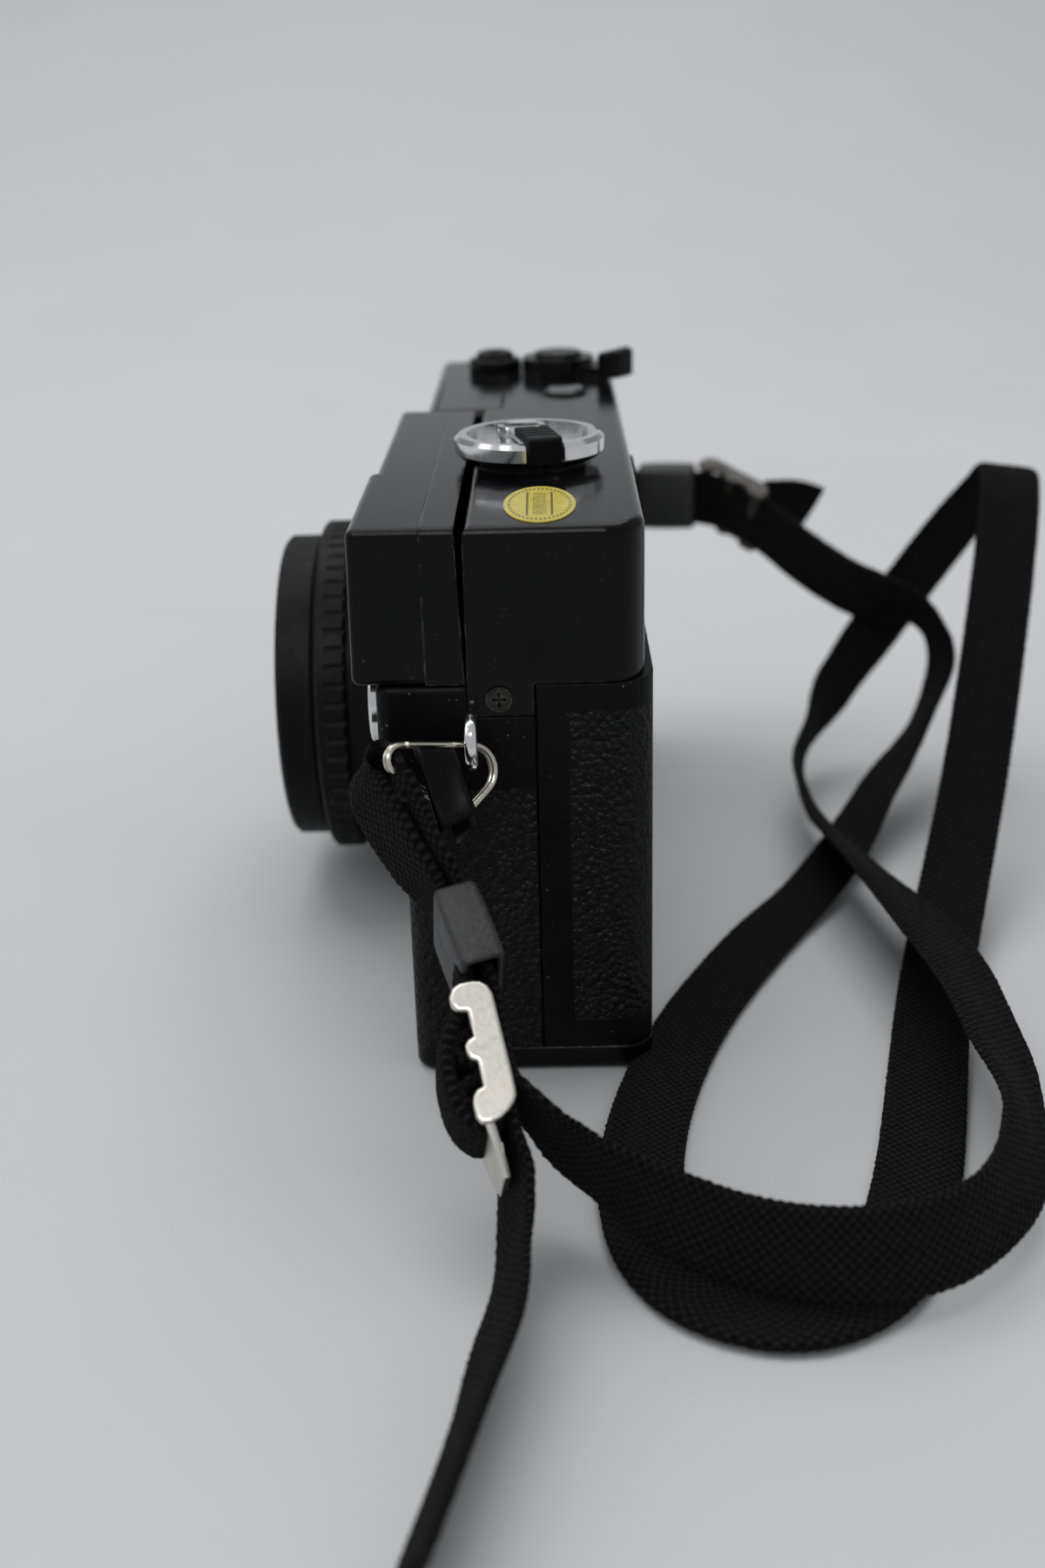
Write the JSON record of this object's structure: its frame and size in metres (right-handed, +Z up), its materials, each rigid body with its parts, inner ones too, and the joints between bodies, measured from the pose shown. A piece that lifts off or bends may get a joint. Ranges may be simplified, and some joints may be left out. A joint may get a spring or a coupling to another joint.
{
  "type": "compact film camera",
  "caption": "Compact 35 mm rangefinder film camera with built-in flash, folding rewind crank, hinged back and a woven neck strap on split rings.",
  "frame": {"origin": "centre of the base, on the surface that the camera stands on", "axes": "+X along the body towards the rewind end, +Y from the lens towards the back door, +Z up from the base"},
  "size_m": [0.2333, 0.1279, 0.0812],
  "materials": {
    "gloss_black": "gloss",
    "matte_black": "matte",
    "leatherette": "grained",
    "casting": "satin",
    "chrome": "polished",
    "black_metal": "satin",
    "steel": "satin",
    "nickel": "polished",
    "silver_buckle": "polished",
    "white_plastic": "matte",
    "glass": "gloss",
    "cell": "satin",
    "foam": "matte",
    "vinyl": "satin",
    "sticker": "satin",
    "webbing": "woven"
  },
  "bodies": {
    "camera_body": {"chassis": "casting", "bottom_cover": "gloss_black", "tripod_socket": "steel", "front_panel": "matte_black", "leatherette": "leatherette", "side_plates": "matte_black", "strap_lugs": "chrome", "top_cover": "gloss_black", "housing_front": "gloss_black", "housing_rear": "gloss_black", "finder_window": "glass", "focus_windows": "glass", "eyepiece": "matte_black", "cover_screws": "steel", "lens_mount": "casting", "front_ring": "casting", "shutter_unit": "casting", "light_seals": "foam", "battery_cells": "cell", "battery_contacts": "steel", "battery_door_pin": "steel", "hinge_pin": "steel", "shutter_collar": "chrome", "counter_window": "glass", "oval_sticker": "sticker", "strap_rings": "nickel", "ring_protectors": "vinyl", "strap_webbing": "webbing", "strap_tail_near": "webbing", "strap_tail_far": "webbing", "strap_keepers": "matte_black", "strap_buckles": "silver_buckle"},
    "back_door": {"back_door": "matte_black", "door_leatherette": "leatherette", "pressure_spring": "steel"},
    "pressure_plate": {"pressure_plate": "black_metal"},
    "battery_door": {"battery_door": "gloss_black", "door_contact": "steel"},
    "rewind_sleeve": {"rewind_sleeve": "black_metal"},
    "rewind_knob": {"rewind_shaft": "steel", "rewind_knob": "chrome"},
    "rewind_crank": {"rewind_crank": "chrome", "crank_grip": "matte_black"},
    "wind_lever": {"wind_lever": "black_metal", "wind_lever_tip": "matte_black"},
    "sprocket": {"sprocket": "white_plastic"},
    "take_up_spool": {"take_up_spool": "white_plastic"},
    "rewind_release": {"rewind_release": "steel"},
    "shutter_button": {"shutter_button": "chrome"},
    "self_timer_lever": {"self_timer_lever": "chrome"},
    "flash_head": {"flash_head": "gloss_black", "flash_window": "glass", "flash_reflector": "chrome"},
    "flash_release": {"flash_release": "gloss_black"},
    "film_speed_ring": {"film_speed_ring": "casting"},
    "lens_barrel": {"lens_barrel": "casting", "front_element": "glass", "rear_element": "glass"},
    "shutter_blade_a": {"shutter_blade_a": "black_metal"},
    "shutter_blade_b": {"shutter_blade_b": "black_metal"}
  },
  "joints": [
    {"name": "back_door_hinge", "type": "hinge", "parent": "camera_body", "child": "back_door", "pos_m": [-0.0629, 0.0132, 0.03], "axis": [0, 0, 1], "range_deg": [0, 110], "deforming": ["strap_webbing", "strap_tail_far", "strap_keepers", "strap_buckles"]},
    {"name": "pressure_plate_slide", "type": "slide", "parent": "back_door", "child": "pressure_plate", "axis": [0, 1, 0], "range_m": [0, 0.0005], "stiffness_N_per_m": 400, "springref_m": -0.001, "deforming": ["pressure_spring"]},
    {"name": "battery_door_hinge", "type": "hinge", "parent": "camera_body", "child": "battery_door", "pos_m": [0.0442, 0, 0.0009], "axis": [0, 1, 0], "range_deg": [0, 100]},
    {"name": "rewind_lift", "type": "slide", "parent": "camera_body", "child": "rewind_sleeve", "axis": [0, 0, 1], "range_m": [0, 0.006]},
    {"name": "rewind_turn", "type": "hinge", "parent": "rewind_sleeve", "child": "rewind_knob", "pos_m": [0.028, 0.0008, 0.078], "axis": [0, 0, 1], "continuous": true},
    {"name": "crank_fold", "type": "hinge", "parent": "rewind_knob", "child": "rewind_crank", "pos_m": [0.02293, -0.00037, 0.0796], "axis": [0.225, -0.9744, 0], "range_deg": [0, 150]},
    {"name": "wind_stroke", "type": "hinge", "parent": "camera_body", "child": "wind_lever", "pos_m": [-0.05, 0.0055, 0.077], "axis": [0, 0, 1], "range_deg": [0, 130], "stiffness_Nm_per_rad": 0.01, "springref_deg": -17.19},
    {"name": "sprocket_turn", "type": "hinge", "parent": "camera_body", "child": "sprocket", "pos_m": [-0.031, 0.005, 0.032], "axis": [0, 0, 1], "range_deg": [0, 361]},
    {"name": "spool_turn", "type": "hinge", "parent": "camera_body", "child": "take_up_spool", "pos_m": [-0.046, 0.0008, 0.032], "axis": [0, 0, 1], "range_deg": [0, 312]},
    {"name": "rewind_release_press", "type": "slide", "parent": "camera_body", "child": "rewind_release", "axis": [0, 0, 1], "range_m": [0, 0.0008], "stiffness_N_per_m": 200, "springref_m": -0.002},
    {"name": "shutter_press", "type": "slide", "parent": "camera_body", "child": "shutter_button", "axis": [0, 0, -1], "range_m": [0, 0.0012], "stiffness_N_per_m": 200, "springref_m": -0.002},
    {"name": "self_timer_swing", "type": "hinge", "parent": "camera_body", "child": "self_timer_lever", "pos_m": [0.0575, -0.02, 0.0523], "axis": [0, 1, 0], "range_deg": [-90, 0]},
    {"name": "flash_rise", "type": "slide", "parent": "camera_body", "child": "flash_head", "axis": [0, 0, 1], "range_m": [0, 0.015]},
    {"name": "flash_release_slide", "type": "slide", "parent": "camera_body", "child": "flash_release", "axis": [1, 0, 0], "range_m": [0, 0.003], "stiffness_N_per_m": 60, "springref_m": -0.002},
    {"name": "film_speed_turn", "type": "hinge", "parent": "camera_body", "child": "film_speed_ring", "pos_m": [-0.006, -0.03, 0.032], "axis": [0, -1, 0], "range_deg": [0, 120]},
    {"name": "focus_travel", "type": "slide", "parent": "camera_body", "child": "lens_barrel", "axis": [0, -1, 0], "range_m": [0, 0.002]},
    {"name": "blade_a_swing", "type": "hinge", "parent": "camera_body", "child": "shutter_blade_a", "pos_m": [-0.003, -0.01, 0.045], "axis": [0, -1, 0], "range_deg": [0, 30]},
    {"name": "blade_b_swing", "type": "hinge", "parent": "camera_body", "child": "shutter_blade_b", "pos_m": [-0.009, -0.01, 0.045], "axis": [0, -1, 0], "range_deg": [-30, 0]}
  ],
  "couplings": [
    {"joint": "sprocket_turn", "follows": "wind_stroke", "ratio": 2.77},
    {"joint": "spool_turn", "follows": "wind_stroke", "ratio": 2.39},
    {"joint": "blade_b_swing", "follows": "blade_a_swing", "ratio": -1}
  ]
}
